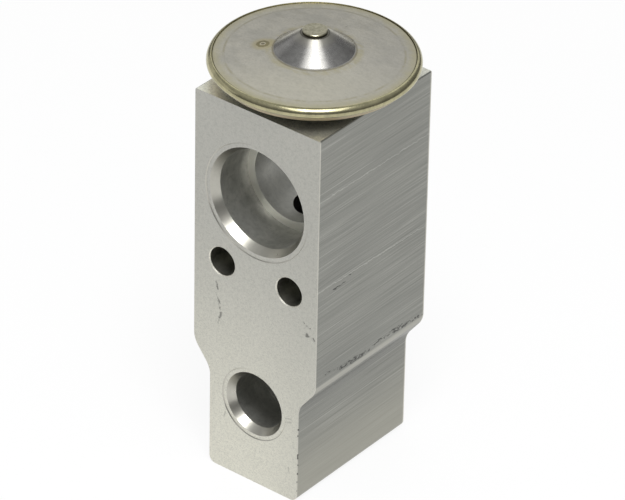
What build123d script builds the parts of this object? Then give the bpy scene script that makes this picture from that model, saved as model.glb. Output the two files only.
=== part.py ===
from build123d import *
import math
import os

# Thermostatic expansion valve of the block type, in millimetres.
# +Z is up, and the face with the two pipe ports looks along -Y.
# The origin is the middle of the block's bottom face.
# A charged head holds a valve on the bench open, so the model stands open.

os.makedirs("parts", exist_ok=True)

# Block: a length of drawn bar whose outline lies in XZ and runs along Y
block_width = 28.0
block_depth = 31.4
block_height = 78.0
foot_width = 20.4
step_low_z = 20.45
step_high_z = 25.35
step_fillet = 4.5
foot_fillet = 1.4
top_fillet = 0.3
bore_edge = 0.5

# Suction passage: straight through the block, with a pipe port at each end
suction_z = 59.8
suction_passage_r = 8.0
suction_port_r = 9.65
suction_port_depth = 9.45
suction_lead_width = 1.03
suction_lead_depth = 1.6
suction_face_width = 0.95
face_cut = 0.15

# Liquid inlet: the small port in the front face
inlet_z = 16.9
inlet_port_r = 5.45
inlet_port_depth = 9.3
inlet_passage_r = 2.6
inlet_lead_width = 1.0
inlet_lead_depth = 1.5
inlet_face_width = 0.88

# Liquid outlet: the lower port in the back face
outlet_z = 29.5
outlet_port_r = 6.4
outlet_port_depth = 7.6
outlet_passage_r = 3.5
outlet_lead_width = 1.0
outlet_lead_depth = 1.5
outlet_face_width = 0.9

# Half angles of a bore's floor in degrees: a cone from the drill, or a flat shoulder
drill_half_angle = 59
flat_half_angle = 90

# Two bolt holes, through the block from front to back
bolt_z = 44.35
bolt_spacing = 15.28
bolt_hole_r = 2.84
bolt_hole_edge = 0.2

# Bores on the valve's own axis, from the top down
head_thread_r = 10.0
head_thread_depth = 7.5
sensing_bore_r = 5.6
seal_bore_r = 3.3
seal_bore_floor_z = 41.0
orifice_r = 1.9
seat_z = 22.3
chamber_r = 5.9
screw_thread_r = 6.5
screw_thread_top_z = 6.5

# Clearances
running_gap = 0.06
thread_gap = 0.05
seal_gap = 0.05
free_gap = 0.1
seat_gap = 0.03

# Head: two pressed covers with the diaphragm welded between their rims
rim_r = 19.0
rim_round = 1.1
rim_skirt_height = 1.6
round_flats = 3
gasket_inner_r = 10.4
gasket_outer_r = 12.6
gasket_thickness = 0.8
head_floor_thickness = 1.1
head_floor_r = 12.2
head_bore_r = 8.0
dish_depth = 2.3
land_width = 2.1
land_step = 0.6
land_drop = 0.95
diaphragm_thickness = 0.1
diaphragm_gap = 0.02
diaphragm_crest = 0.3
cover_thickness = 0.9
bead_round = 0.58
crease_width = 0.24
crease_depth = 0.12
shoulder_inset = 3.1
shoulder_rise = 0.17
cone_base_r = 7.35
cone_base_rise = 0.92
cone_top_r = 2.5
cone_rise = 4.5
cone_base_fillet = 1.5
cone_top_fillet = 0.4
charge_hole_r = 1.0
plug_head_r = 2.26
plug_head_height = 0.5
plug_head_edge = 0.1
plug_shank_length = 1.6

# Pad under the diaphragm
pad_r = 11.0
pad_thickness = 1.6
pad_boss_r = 2.6
pad_boss_height = 3.0
pad_socket_depth = 2.5
pad_groove_width = 2.0
pad_groove_depth = 0.5
pad_groove_count = 4

# Rod and its seal
rod_r = 1.2
seal_sides = 6
seal_section_r = (seal_bore_r - rod_r) / 2 - seal_gap
lock_ring_thickness = 0.5
lock_ring_gap = 0.2
lock_ring_notches = 6
lock_ring_notch_width = 0.7
lock_ring_notch_depth = 1.0

# Ball, its carrier and the spring that damps it
ball_r = 2.4
stroke = 0.7
carrier_r = 4.4
carrier_thickness = 1.2
carrier_cone_half_angle = 60
carrier_stem_r = 2.9
carrier_stem_length = 3.0
damper_thickness = 0.3
damper_inner_r = 3.2
damper_leg_count = 4
damper_leg_width = 1.7
damper_leg_drop = 3.4

# Adjusting spring, screw and the screw's seal
spring_mean_r = 3.7
spring_wire_r = 0.55
spring_wire_sides = 6
spring_active_turns = 2.25
spring_end_turns = 0.75
spring_end_gap = 0.04
spring_points_per_turn = 6
spring_foot_z = 9.8
screw_bottom_z = 2.2
screw_thread_length = 3.2
screw_groove_low_z = 7.6
screw_groove_width = 1.6
screw_groove_depth = 1.5
screw_spigot_r = 2.9
screw_spigot_height = 1.5
screw_socket_width = 5.0
screw_socket_depth = 4.0
screw_edge = 0.4

# Places and heights that follow from the sizes above
land_inner_r = rim_r - land_width
shoulder_r = rim_r - shoulder_inset
head_floor_z = block_height + gasket_thickness + head_floor_thickness
diaphragm_z = head_floor_z + dish_depth
cover_z = diaphragm_z + diaphragm_thickness
cover_top_z = cover_z + cover_thickness
cone_base_z = cover_top_z + cone_base_rise
cone_top_z = cover_top_z + cone_rise
pad_top_z = head_floor_z + pad_thickness
rod_top_z = head_floor_z - pad_boss_height + pad_socket_depth
ball_shut_z = seat_z - math.sqrt(ball_r**2 - orifice_r**2) - seat_gap
ball_z = ball_shut_z - stroke
ball_top_z = ball_z + ball_r
carrier_cone_z = ball_z - ball_r / math.sin(math.radians(carrier_cone_half_angle)) - running_gap
carrier_bottom_z = carrier_cone_z + carrier_thickness / 2
carrier_top_z = carrier_bottom_z + carrier_thickness
guide_bore_r = rod_r + running_gap
inlet_drill_depth = block_depth / 2 - chamber_r / 2
outlet_drill_depth = block_depth / 2 + outlet_passage_r / 2
screw_neck_r = chamber_r - free_gap
screw_groove_r = chamber_r - screw_groove_depth

# The two faces that carry ports, each seen from outside with Z up
front_face = Plane(origin=(0, -block_depth / 2, 0), x_dir=(1, 0, 0), z_dir=(0, -1, 0))
back_face = Plane(origin=(0, block_depth / 2, 0), x_dir=(-1, 0, 0), z_dir=(0, 1, 0))


def port_cutter(bore_r, bore_depth, lead_width, lead_depth, face_width, floor_half_angle):
    """Return the form tool of a pipe port, standing on its face, pointing down.

    It sinks a thin flat with a sloped edge round the mouth, then the lead-in cone
    for the pipe's seal ring, then the bore. A floor of 90 degrees is flat, and
    less is a cone.
    """
    mouth_r = bore_r + lead_width
    face_r = mouth_r + face_width
    floor_depth = bore_r / math.tan(math.radians(floor_half_angle))
    with BuildPart() as cutter:
        with BuildSketch(Plane.XZ):
            with BuildLine():
                Polyline(
                    (0, face_cut),
                    (face_r + face_cut, face_cut),
                    (face_r - face_cut, -face_cut),
                    (mouth_r, -face_cut),
                    (bore_r, -face_cut - lead_depth),
                    (bore_r, -bore_depth),
                    (0, -bore_depth - floor_depth),
                    close=True,
                )
            make_face()
        revolve(axis=Axis.Z)
    return cutter.part


def drill_cutter(radius, depth):
    """Return a drill of this depth to its shoulder, standing on its face, pointing down."""
    with BuildPart() as cutter:
        with BuildSketch(Plane.XZ):
            with BuildLine():
                Polyline(
                    (0, 0),
                    (radius, 0),
                    (radius, -depth),
                    (0, -depth - radius / math.tan(math.radians(drill_half_angle))),
                    close=True,
                )
            make_face()
        revolve(axis=Axis.Z)
    return cutter.part


def rounded_rim(centre_r, centre_z, radius, upward):
    """Return a quarter round at a rim as points, from its widest place to its flat side."""
    points = []
    for index in range(round_flats + 1):
        turn = math.radians(90 * index / round_flats)
        rise = radius * math.sin(turn)
        points.append((centre_r + radius * math.cos(turn), centre_z + (rise if upward else -rise)))
    return points


suction_cutter = port_cutter(suction_port_r, suction_port_depth, suction_lead_width,
                             suction_lead_depth, suction_face_width, flat_half_angle)
inlet_cutter = port_cutter(inlet_port_r, inlet_port_depth, inlet_lead_width,
                           inlet_lead_depth, inlet_face_width, flat_half_angle)
inlet_drill = drill_cutter(inlet_passage_r, inlet_drill_depth)
outlet_cutter = port_cutter(outlet_port_r, outlet_port_depth, outlet_lead_width,
                            outlet_lead_depth, outlet_face_width, drill_half_angle)
outlet_drill = drill_cutter(outlet_passage_r, outlet_drill_depth)

# Radius and the two heights of each bore on the valve's axis
axis_bores = [
    (head_thread_r, block_height - head_thread_depth, block_height),
    (sensing_bore_r, suction_z, block_height - head_thread_depth),
    (seal_bore_r, seal_bore_floor_z, suction_z),
    (guide_bore_r, outlet_z, seal_bore_floor_z),
    (orifice_r, seat_z, outlet_z),
    (chamber_r, screw_thread_top_z, seat_z),
    (screw_thread_r, 0, screw_thread_top_z),
]

# Valve body: the bar's stepped outline, then every bore that crosses it
with BuildPart() as valve_body:
    with BuildSketch(Plane.XZ):
        with BuildLine():
            FilletPolyline(
                (-foot_width / 2, 0),
                (foot_width / 2, 0),
                (foot_width / 2, step_low_z),
                (block_width / 2, step_high_z),
                (block_width / 2, block_height),
                (-block_width / 2, block_height),
                (-block_width / 2, step_high_z),
                (-foot_width / 2, step_low_z),
                radius=[foot_fillet, foot_fillet, step_fillet, step_fillet,
                        top_fillet, top_fillet, step_fillet, step_fillet],
                close=True,
            )
        make_face()
    extrude(amount=block_depth / 2, both=True)
    for radius, low_z, high_z in axis_bores:
        with Locations((0, 0, low_z)):
            Cylinder(radius, high_z - low_z, align=(Align.CENTER, Align.CENTER, Align.MIN),
                     mode=Mode.SUBTRACT)
    chamfer(valve_body.edges().filter_by(GeomType.CIRCLE).group_by(Axis.Z)[0], bore_edge)
    chamfer(valve_body.edges().filter_by(GeomType.CIRCLE).group_by(Axis.Z)[-1], bore_edge)
    with Locations((0, 0, suction_z)):
        Cylinder(suction_passage_r, block_depth, rotation=(90, 0, 0), mode=Mode.SUBTRACT)
    with Locations(front_face):
        with Locations((0, suction_z)):
            add(suction_cutter, mode=Mode.SUBTRACT)
        with Locations((0, inlet_z)):
            add(inlet_cutter, mode=Mode.SUBTRACT)
            add(inlet_drill, mode=Mode.SUBTRACT)
        with Locations((0, bolt_z)):
            with GridLocations(bolt_spacing, bolt_spacing, 2, 1):
                Hole(bolt_hole_r)
    with Locations(back_face):
        with Locations((0, suction_z)):
            add(suction_cutter, mode=Mode.SUBTRACT)
        with Locations((0, outlet_z)):
            add(outlet_cutter, mode=Mode.SUBTRACT)
            add(outlet_drill, mode=Mode.SUBTRACT)
    bolt_mouths = valve_body.edges().filter_by(GeomType.CIRCLE).filter_by(
        lambda edge: abs(edge.radius - bolt_hole_r) < 0.001)
    chamfer(bolt_mouths, bolt_hole_edge)
valve_body.part.label = "valve_body"
export_step(valve_body.part, "parts/valve_body.step")

# Gasket: a flat ring between the block's top and the head
with BuildPart() as head_gasket:
    with BuildSketch(Plane.XY.offset(block_height)):
        Circle(gasket_outer_r)
        Circle(gasket_inner_r, mode=Mode.SUBTRACT)
    extrude(amount=gasket_thickness)
head_gasket.part.label = "head_gasket"
export_step(head_gasket.part, "parts/head_gasket.step")

# Lower cover: a dished plate with a raised land at its rim and a threaded boss
boss_r = head_thread_r - thread_gap
boss_bottom_z = block_height - head_thread_depth + free_gap
skirt_z = diaphragm_z - rim_skirt_height
with BuildPart() as head_lower_cover:
    with BuildSketch(Plane.XZ):
        with BuildLine():
            Polyline(
                (gasket_outer_r, block_height + gasket_thickness),
                (boss_r, block_height + gasket_thickness),
                (boss_r, boss_bottom_z),
                (head_bore_r, boss_bottom_z),
                (head_bore_r, head_floor_z),
                (head_floor_r, head_floor_z),
                (land_inner_r - land_step, diaphragm_z - land_drop),
                (land_inner_r, diaphragm_z),
                (rim_r, diaphragm_z),
                *rounded_rim(rim_r - rim_round, skirt_z + rim_round, rim_round, upward=False),
                close=True,
            )
        make_face()
    revolve(axis=Axis.Z)
    boss_end = head_lower_cover.edges().filter_by(GeomType.CIRCLE).group_by(Axis.Z)[0]
    chamfer(boss_end.sort_by(SortBy.RADIUS)[-1], bore_edge)
head_lower_cover.part.label = "head_lower_cover"
export_step(head_lower_cover.part, "parts/head_lower_cover.step")

# Diaphragm: thin sheet, clamped at the rim and resting on the pad, with a wave between
diaphragm_rest_z = pad_top_z + diaphragm_gap
diaphragm_low = [
    (0, diaphragm_rest_z),
    (pad_r, diaphragm_rest_z),
    ((pad_r + land_inner_r) / 2, (diaphragm_rest_z + diaphragm_z) / 2 + diaphragm_crest),
    (land_inner_r, diaphragm_z),
    (rim_r - bead_round, diaphragm_z),
]
diaphragm_high = [(r, z + diaphragm_thickness) for r, z in reversed(diaphragm_low)]
with BuildPart() as head_diaphragm:
    with BuildSketch(Plane.XZ):
        with BuildLine():
            Polyline(*diaphragm_low, *diaphragm_high, close=True)
        make_face()
    revolve(axis=Axis.Z)
head_diaphragm.part.label = "head_diaphragm"
export_step(head_diaphragm.part, "parts/head_diaphragm.step")

# Upper cover: a shallow dome with a rolled bead at its rim and a cone for the plug
crease_r = rim_r - bead_round
flank_slope = (cone_top_z - cone_base_z) / (cone_base_r - cone_top_r)
flank_inset = cover_thickness * (math.sqrt(1 + flank_slope**2) - 1) / flank_slope
with BuildPart() as head_upper_cover:
    with BuildSketch(Plane.XZ):
        with BuildLine():
            FilletPolyline(
                (crease_r, cover_top_z),
                (crease_r - crease_width / 2, cover_top_z - crease_depth),
                (crease_r - crease_width, cover_top_z),
                (shoulder_r, cover_top_z + shoulder_rise),
                (cone_base_r, cone_base_z),
                (cone_top_r, cone_top_z),
                (charge_hole_r, cone_top_z),
                radius=[0, 0, 0, cone_base_fillet, cone_top_fillet],
            )
            Polyline(
                (charge_hole_r, cone_top_z),
                (charge_hole_r, cone_top_z - cover_thickness),
                (cone_top_r - flank_inset, cone_top_z - cover_thickness),
                (cone_base_r - flank_inset, cone_base_z - cover_thickness),
                (shoulder_r, cover_top_z + shoulder_rise - cover_thickness),
                (land_inner_r, cover_z),
                (rim_r, cover_z),
                *rounded_rim(crease_r, cover_top_z - bead_round, bead_round, upward=True),
            )
        make_face()
    revolve(axis=Axis.Z)
head_upper_cover.part.label = "head_upper_cover"
export_step(head_upper_cover.part, "parts/head_upper_cover.step")

# Charge plug: a small rivet that closes the filling hole in the cone's top
with BuildPart() as charge_plug:
    with BuildSketch(Plane.XY.offset(cone_top_z)):
        Circle(plug_head_r)
    extrude(amount=plug_head_height)
    chamfer(charge_plug.edges().filter_by(GeomType.CIRCLE).sort_by(Axis.Z)[-1], plug_head_edge)
    with BuildSketch(Plane.XY.offset(cone_top_z)):
        Circle(charge_hole_r - thread_gap)
    extrude(amount=-plug_shank_length)
charge_plug.part.label = "charge_plug"
export_step(charge_plug.part, "parts/charge_plug.step")

# Diaphragm pad: the disc that carries the diaphragm's push down to the rod.
# Grooves across its underside let the suction gas reach the diaphragm.
with BuildPart() as diaphragm_pad:
    with BuildSketch(Plane.XY.offset(head_floor_z)):
        Circle(pad_r)
    extrude(amount=pad_thickness)
    with BuildSketch(Plane.XY.offset(head_floor_z)):
        with PolarLocations(0, pad_groove_count // 2, angular_range=180):
            Rectangle(2 * pad_r, pad_groove_width)
    extrude(amount=pad_groove_depth, mode=Mode.SUBTRACT)
    with BuildSketch(Plane.XY.offset(head_floor_z - pad_boss_height)):
        Circle(pad_boss_r)
    extrude(amount=pad_boss_height + pad_groove_depth)
    with BuildSketch(Plane.XY.offset(head_floor_z - pad_boss_height)):
        Circle(rod_r + running_gap)
    extrude(amount=pad_socket_depth, mode=Mode.SUBTRACT)
diaphragm_pad.part.label = "diaphragm_pad"
export_step(diaphragm_pad.part, "parts/diaphragm_pad.step")

# Valve rod: from the ball's top, through the seal and the suction passage, to the pad
with BuildPart() as valve_rod:
    with BuildSketch(Plane.XY.offset(ball_top_z)):
        Circle(rod_r)
    extrude(amount=rod_top_z - ball_top_z)
valve_rod.part.label = "valve_rod"
export_step(valve_rod.part, "parts/valve_rod.step")

# Rod seal: an O-ring at the bottom of its bore
rod_o_ring_mean_r = (seal_bore_r + rod_r) / 2
with BuildPart() as rod_o_ring:
    with BuildSketch(Plane.XZ):
        with Locations((rod_o_ring_mean_r, seal_bore_floor_z + seal_section_r)):
            RegularPolygon(seal_section_r, seal_sides)
    revolve(axis=Axis.Z)
rod_o_ring.part.label = "rod_o_ring"
export_step(rod_o_ring.part, "parts/rod_o_ring.step")

# Lock ring over the rod seal: a flat spring washer whose notched edge grips the bore
lock_ring_outer_r = seal_bore_r - seal_gap / 2
with BuildPart() as rod_lock_ring:
    with BuildSketch(Plane.XY.offset(seal_bore_floor_z + 2 * seal_section_r + seal_gap)):
        Circle(lock_ring_outer_r)
        Circle(rod_r + lock_ring_gap, mode=Mode.SUBTRACT)
        with PolarLocations(lock_ring_outer_r, lock_ring_notches):
            Rectangle(2 * lock_ring_notch_depth, lock_ring_notch_width, mode=Mode.SUBTRACT)
    extrude(amount=lock_ring_thickness)
rod_lock_ring.part.label = "rod_lock_ring"
export_step(rod_lock_ring.part, "parts/rod_lock_ring.step")

# Valve ball
with BuildPart() as valve_ball:
    with Locations((0, 0, ball_z)):
        Sphere(ball_r)
valve_ball.part.label = "valve_ball"
export_step(valve_ball.part, "parts/valve_ball.step")

# Ball carrier: a flanged button with a conical seat above and a spring spigot below
cone_mouth_r = (carrier_top_z - carrier_cone_z) * math.tan(math.radians(carrier_cone_half_angle))
carrier_foot_z = carrier_bottom_z - carrier_stem_length
with BuildPart() as ball_carrier:
    with BuildSketch(Plane.XZ):
        with BuildLine():
            Polyline(
                (0, carrier_foot_z),
                (carrier_stem_r, carrier_foot_z),
                (carrier_stem_r, carrier_bottom_z),
                (carrier_r, carrier_bottom_z),
                (carrier_r, carrier_top_z),
                (cone_mouth_r, carrier_top_z),
                (0, carrier_cone_z),
                close=True,
            )
        make_face()
    revolve(axis=Axis.Z)
    carrier_foot = ball_carrier.edges().filter_by(GeomType.CIRCLE).group_by(Axis.Z)[0]
    chamfer(carrier_foot, bore_edge)
ball_carrier.part.label = "ball_carrier"
export_step(ball_carrier.part, "parts/ball_carrier.step")

# Damping spring: a thin ring on the carrier with bent legs that rub the chamber wall
leg_tip_r = chamber_r - free_gap
leg_low_z = carrier_top_z - damper_leg_drop
with BuildPart() as damping_spring:
    with BuildSketch(Plane.XY.offset(carrier_top_z)):
        Circle(carrier_r)
        Circle(damper_inner_r, mode=Mode.SUBTRACT)
    extrude(amount=damper_thickness)
    for index in range(damper_leg_count):
        with BuildSketch(Plane.XZ.rotated((0, 0, 360 / damper_leg_count * (index + 0.5)))):
            with BuildLine():
                Polyline(
                    (damper_inner_r + damper_thickness, carrier_top_z),
                    (carrier_r + damper_thickness, carrier_top_z),
                    (leg_tip_r - damper_thickness, leg_low_z),
                    (leg_tip_r, leg_low_z),
                    (carrier_r + 2 * damper_thickness, carrier_top_z + damper_thickness),
                    (damper_inner_r + damper_thickness, carrier_top_z + damper_thickness),
                    close=True,
                )
            make_face()
        extrude(amount=damper_leg_width / 2, both=True)
damping_spring.part.label = "damping_spring"
export_step(damping_spring.part, "parts/damping_spring.step")

# Adjusting spring: closed and ground at both ends, between the screw and the carrier
spring_length = carrier_bottom_z - spring_foot_z
end_height = (2 * spring_wire_r + spring_end_gap) * spring_end_turns
active_height = spring_length - 2 * end_height
spring_turns = spring_active_turns + 2 * spring_end_turns
coil_points = []
for index in range(round(spring_turns * spring_points_per_turn) + 1):
    turn = min(index / spring_points_per_turn, spring_turns)
    low_end = min(turn, spring_end_turns) / spring_end_turns
    high_end = max(turn - spring_end_turns - spring_active_turns, 0) / spring_end_turns
    middle = min(max(turn - spring_end_turns, 0), spring_active_turns) / spring_active_turns
    coil_points.append((
        spring_mean_r * math.cos(2 * math.pi * turn),
        spring_mean_r * math.sin(2 * math.pi * turn),
        spring_foot_z + (low_end + high_end) * end_height + middle * active_height,
    ))
with BuildPart() as adjusting_spring:
    with BuildLine() as coil:
        Spline(*coil_points)
    with BuildSketch(Plane(origin=coil.line @ 0, z_dir=coil.line % 0)):
        RegularPolygon(spring_wire_r, spring_wire_sides)
    sweep(path=coil.line)
    with Locations((0, 0, spring_foot_z)):
        Cylinder(chamber_r, spring_length, align=(Align.CENTER, Align.CENTER, Align.MAX),
                 mode=Mode.SUBTRACT)
    with Locations((0, 0, carrier_bottom_z)):
        Cylinder(chamber_r, spring_length, align=(Align.CENTER, Align.CENTER, Align.MIN),
                 mode=Mode.SUBTRACT)
adjusting_spring.part.label = "adjusting_spring"
export_step(adjusting_spring.part, "parts/adjusting_spring.step")

# Adjusting screw: threaded foot with a hexagon socket, a seal groove and a spring spigot
screw_r = screw_thread_r - thread_gap
screw_shoulder_z = screw_bottom_z + screw_thread_length
with BuildPart() as adjusting_screw:
    with BuildSketch(Plane.XZ):
        with BuildLine():
            Polyline(
                (0, screw_bottom_z),
                (screw_r, screw_bottom_z),
                (screw_r, screw_shoulder_z),
                (screw_neck_r, screw_shoulder_z),
                (screw_neck_r, screw_groove_low_z),
                (screw_groove_r, screw_groove_low_z),
                (screw_groove_r, screw_groove_low_z + screw_groove_width),
                (screw_neck_r, screw_groove_low_z + screw_groove_width),
                (screw_neck_r, spring_foot_z),
                (screw_spigot_r, spring_foot_z),
                (screw_spigot_r, spring_foot_z + screw_spigot_height),
                (0, spring_foot_z + screw_spigot_height),
                close=True,
            )
        make_face()
    revolve(axis=Axis.Z)
    chamfer(adjusting_screw.edges().filter_by(GeomType.CIRCLE).group_by(Axis.Z)[0], screw_edge)
    chamfer(adjusting_screw.edges().filter_by(GeomType.CIRCLE).group_by(Axis.Z)[-1], screw_edge)
    with BuildSketch(Plane.XY.offset(screw_bottom_z)):
        RegularPolygon(screw_socket_width / 2, 6, major_radius=False)
    extrude(amount=screw_socket_depth, mode=Mode.SUBTRACT)
adjusting_screw.part.label = "adjusting_screw"
export_step(adjusting_screw.part, "parts/adjusting_screw.step")

# Screw seal: an O-ring in the screw's groove
screw_seal_inner_r = screw_groove_r + seal_gap
screw_seal_section_r = (chamber_r - seal_gap - screw_seal_inner_r) / 2
screw_seal_mean_r = screw_seal_inner_r + screw_seal_section_r
with BuildPart() as screw_o_ring:
    with BuildSketch(Plane.XZ):
        with Locations((screw_seal_mean_r, screw_groove_low_z + screw_groove_width / 2)):
            RegularPolygon(screw_seal_section_r, seal_sides)
    revolve(axis=Axis.Z)
screw_o_ring.part.label = "screw_o_ring"
export_step(screw_o_ring.part, "parts/screw_o_ring.step")
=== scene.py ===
import math

import bpy
from mathutils import Matrix, Vector


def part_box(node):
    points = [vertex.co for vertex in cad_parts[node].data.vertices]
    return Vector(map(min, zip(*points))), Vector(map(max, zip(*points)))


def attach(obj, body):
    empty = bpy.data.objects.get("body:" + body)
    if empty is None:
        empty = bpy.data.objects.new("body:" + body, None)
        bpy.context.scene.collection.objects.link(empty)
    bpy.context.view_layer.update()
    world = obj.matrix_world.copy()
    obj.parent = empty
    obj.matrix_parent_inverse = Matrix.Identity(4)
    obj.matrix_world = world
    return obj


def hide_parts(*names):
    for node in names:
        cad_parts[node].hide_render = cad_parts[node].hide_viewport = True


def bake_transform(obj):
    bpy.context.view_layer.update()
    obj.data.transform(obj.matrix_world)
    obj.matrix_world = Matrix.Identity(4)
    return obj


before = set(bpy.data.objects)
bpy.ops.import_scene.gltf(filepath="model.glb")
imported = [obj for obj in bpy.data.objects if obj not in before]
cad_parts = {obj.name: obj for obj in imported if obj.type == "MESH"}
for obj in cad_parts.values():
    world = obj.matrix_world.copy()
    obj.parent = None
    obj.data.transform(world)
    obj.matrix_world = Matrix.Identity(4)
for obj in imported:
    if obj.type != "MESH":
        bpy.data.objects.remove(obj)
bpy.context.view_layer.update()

# Metres in a millimetre: sizes below are in millimetres unless they say otherwise
MM = 0.001

# Camera: a long lens, above the block and to the right of its front face
IMAGE_WIDTH_PX = 625
FOCAL_LENGTH_PX = 5157.6
SENSOR_WIDTH = 36.0
CAMERA_AZIMUTH = 38.22
CAMERA_ELEVATION = 32.98
CAMERA_ROLL = 1.16
CAMERA_DISTANCE = 924.3
AIM_HEIGHT = 42.3
AIM_SIDEWAYS = 0.33

# Stage
FLOOR_HALF_WIDTH = 4000.0
FLOOR_TONE = 0.95
FLOOR_LIFT = 0.88
WORLD_LOW_TONE = (0.2, 0.2, 0.2)
WORLD_HIGH_TONE = (0.5, 0.505, 0.51)
WORLD_LOW_RISE = 0.3
WORLD_HIGH_RISE = 0.8
WORLD_STRENGTH = 1.0

# Softboxes: name, azimuth, elevation, distance, width, height, power in watts
LAMPS = (
    ("top_softbox", 42.0, 64.0, 520.0, 150.0, 150.0, 1.1),
    ("top_glow", 42.0, 64.0, 560.0, 400.0, 400.0, 1.1),
    ("front_softbox", -80.0, 16.0, 900.0, 1000.0, 560.0, 0.75),
    ("back_softbox", 214.0, 40.0, 1000.0, 1100.0, 900.0, 1.75),
)

# Block, in the heights and widths that its finishes follow
FRONT_Y = 15.7
OUTER_SIDE_X = 8.8
STEP_LOW_Z = 20.6
STEP_HIGH_Z = 25.6
# Painted light: below this height the drawn sides are painted paler
PAINTED_FOOT_LIGHT_Z = 19.0
# Painted light: the milled faces change tone from the foot up to this height
PAINTED_GRADIENT_TOP_Z = 62.0
PORT_SHOULDER_LOW_Z = 50.0
PORT_SHOULDER_Y = 6.25
BOLT_HOLE_X = 7.64
BOLT_HOLE_Z = 44.35
BOLT_HOLE_R = 2.84
BLOCK_TOP_Z = 78.0
# Sloped faces of the block further than this from its middle plane are a port's lead-in
LEAD_IN_Y = 3.0
# A face nearer than this to a surface lies on it
SKIN = 0.3
# A normal's part along an axis counts as the whole above the first, and as nothing below the second
SQUARE = 0.99
EDGE_ON = 0.02
# Stretch that leaves a noise no change along an axis
EVEN = 4000.0

# Head: the azimuth from which light is painted on its dome and cone, then radii from its axis, heights
# and rounds
PAINTED_LIGHT_AZIMUTH = 38.0
RIM_R = 19.0
CREASE_R = 18.05
BEAD_R = 1.22
RIM_EQUATOR_Z = 81.98
BEAD_RISE = 0.9
COVER_THICKNESS = 0.77
COVER_SHOULDER_R = 15.95
COVER_SHOULDER_RISE = 0.08
CONE_FOOT_R = 7.35
CONE_FOOT_RISE = 1.05
CONE_TOP_R = 2.5
CONE_FOOT_ROUND = 1.5
CONE_TOP_ROUND = 0.4
CONE_HOLE_R = 1.0
PLUG_TOP_Z = 88.2
CLAMP_R = 16.9
FLANGE_R = 17.0
FLANGE_DEPTH = 1.9
BOSS_R = 9.95
BOSS_BORE_R = 8.0
BOSS_CHAMFER = 0.5
LATHE_STEPS = 224
LATHE_SHARP_ANGLE = 38.0
# Upper cover's section beside the crease and at its shoulder, as steps from those corners
CREASE_SECTION = ((0.1, -0.2), (0.0, -0.16), (-0.08, -0.1), (-0.2, -0.02), (-0.4, 0.0))
SHOULDER_SECTION = ((0.4, -0.05), (0.12, -0.035), (-0.06, 0.0), (-0.4, 0.04))

# Diaphragm and coil spring
DIAPHRAGM_THICKNESS = 0.1
DIAPHRAGM_CREST = 0.3
DIAPHRAGM_BEND_R = 2.0
COIL_R = 3.7
WIRE_R = 0.55
WIRE_SIDES = 16
COIL_STEPS = 48
COIL_GAP = 0.04
END_TURNS = 0.75
ACTIVE_TURNS = 2.25

# Front face marks in its own plane: X and Z of both ends, and a width
FRONT_NICKS = (
    (-8.95, 39.5, -8.5, 38.2, 0.16),
    (-8.8, 36.7, -7.95, 35.4, 0.1),
    (-7.93, 34.6, -7.88, 34.3, 0.08),
    (-7.7, 33.5, -7.66, 33.1, 0.12),
    (-7.7, 33.0, -8.1, 32.3, 0.18),
    (11.06, 39.4, 12.5, 38.8, 0.16),
    (11.84, 37.2, 12.1, 36.9, 0.24),
    (13.4, 37.0, 13.6, 36.7, 0.16),
)
# Fainter scuffs on the front face, given in the same way
FRONT_SCUFFS = (
    (8.33, 6.8, 8.44, 6.0, 0.12),
    (-6.55, 12.4, -6.8, 11.4, 0.1),
    (7.3, 17.2, 8.7, 17.55, 0.05),
    (7.5, 16.4, 8.9, 17.0, 0.05),
    (-8.5, 35.6, -8.05, 34.5, 0.08),
    (-8.1, 32.2, -8.3, 31.0, 0.08),
)
# Right side marks: Y and Z of both ends, and a width
SIDE_BRIGHT_LINES = (
    (-15.6, 65.4, 15.6, 65.2, 0.04),
    (-15.6, 46.7, 15.6, 45.9, 0.06),
)
SIDE_DARK_LINES = (
    (-11.1, 45.4, -9.1, 45.3, 0.14),
    (-9.3, 45.3, -7.7, 45.3, 0.08),
    (-6.6, 46.2, -6.1, 46.2, 0.12),
    (2.3, 27.6, 3.5, 27.6, 0.16),
    (-15.6, 15.9, -15.3, 15.8, 0.3),
    (-15.6, 14.7, -15.5, 14.5, 0.24),
    (-15.6, 10.3, -15.4, 9.6, 0.3),
    (-15.6, 8.0, -15.5, 7.9, 0.26),
    (-15.6, 6.2, -15.4, 6.1, 0.3),
    (-15.6, 4.5, -15.5, 4.4, 0.2),
    (-15.6, 2.7, -15.5, 2.6, 0.2),
)
# Nicks along the step: Y and Z of both ends of each stretch, its width, and how crowded they are
STEP_NICKS = (
    (-13.0, 28.3, -7.0, 27.2, 0.32, 0.42),
    (-8.6, 27.3, -1.4, 26.9, 0.6, 0.62),
    (-1.4, 26.9, 6.9, 27.6, 0.28, 0.42),
    (6.6, 27.5, 10.4, 27.1, 0.6, 0.6),
    (10.8, 27.2, 15.2, 26.7, 0.4, 0.5),
)
# Specks on the cover's dome: X and Y of both ends, and a width
COVER_SPECKS = (
    (-0.95, 10.2, -0.8, 10.2, 0.2),
    (3.1, 6.9, 3.15, 7.0, 0.2),
)
# Spot weld on the dome: its place, and its section as radius and rise
WELD_SPOT_X = -8.3
WELD_SPOT_Y = -4.15
WELD_SPOT_STEPS = 48
WELD_SPOT_SECTION = (
    (0.0, -0.02), (0.1, -0.01), (0.2, 0.03), (0.32, 0.07), (0.46, 0.085), (0.62, 0.06),
    (0.76, 0.025), (0.88, 0.01), (1.05, 0.012), (1.25, 0.008), (1.35, -0.03),
)


def direction(azimuth, elevation):
    """Return the unit vector to a point seen at this azimuth and elevation in degrees."""
    turn, rise = math.radians(azimuth), math.radians(elevation)
    flat = math.cos(rise)
    return Vector((math.sin(turn) * flat, -math.cos(turn) * flat, math.sin(rise)))


def box_in_mm(node):
    """Return a node's lowest and highest corners at rest, in millimetres."""
    low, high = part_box(node)
    return low / MM, high / MM


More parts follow.
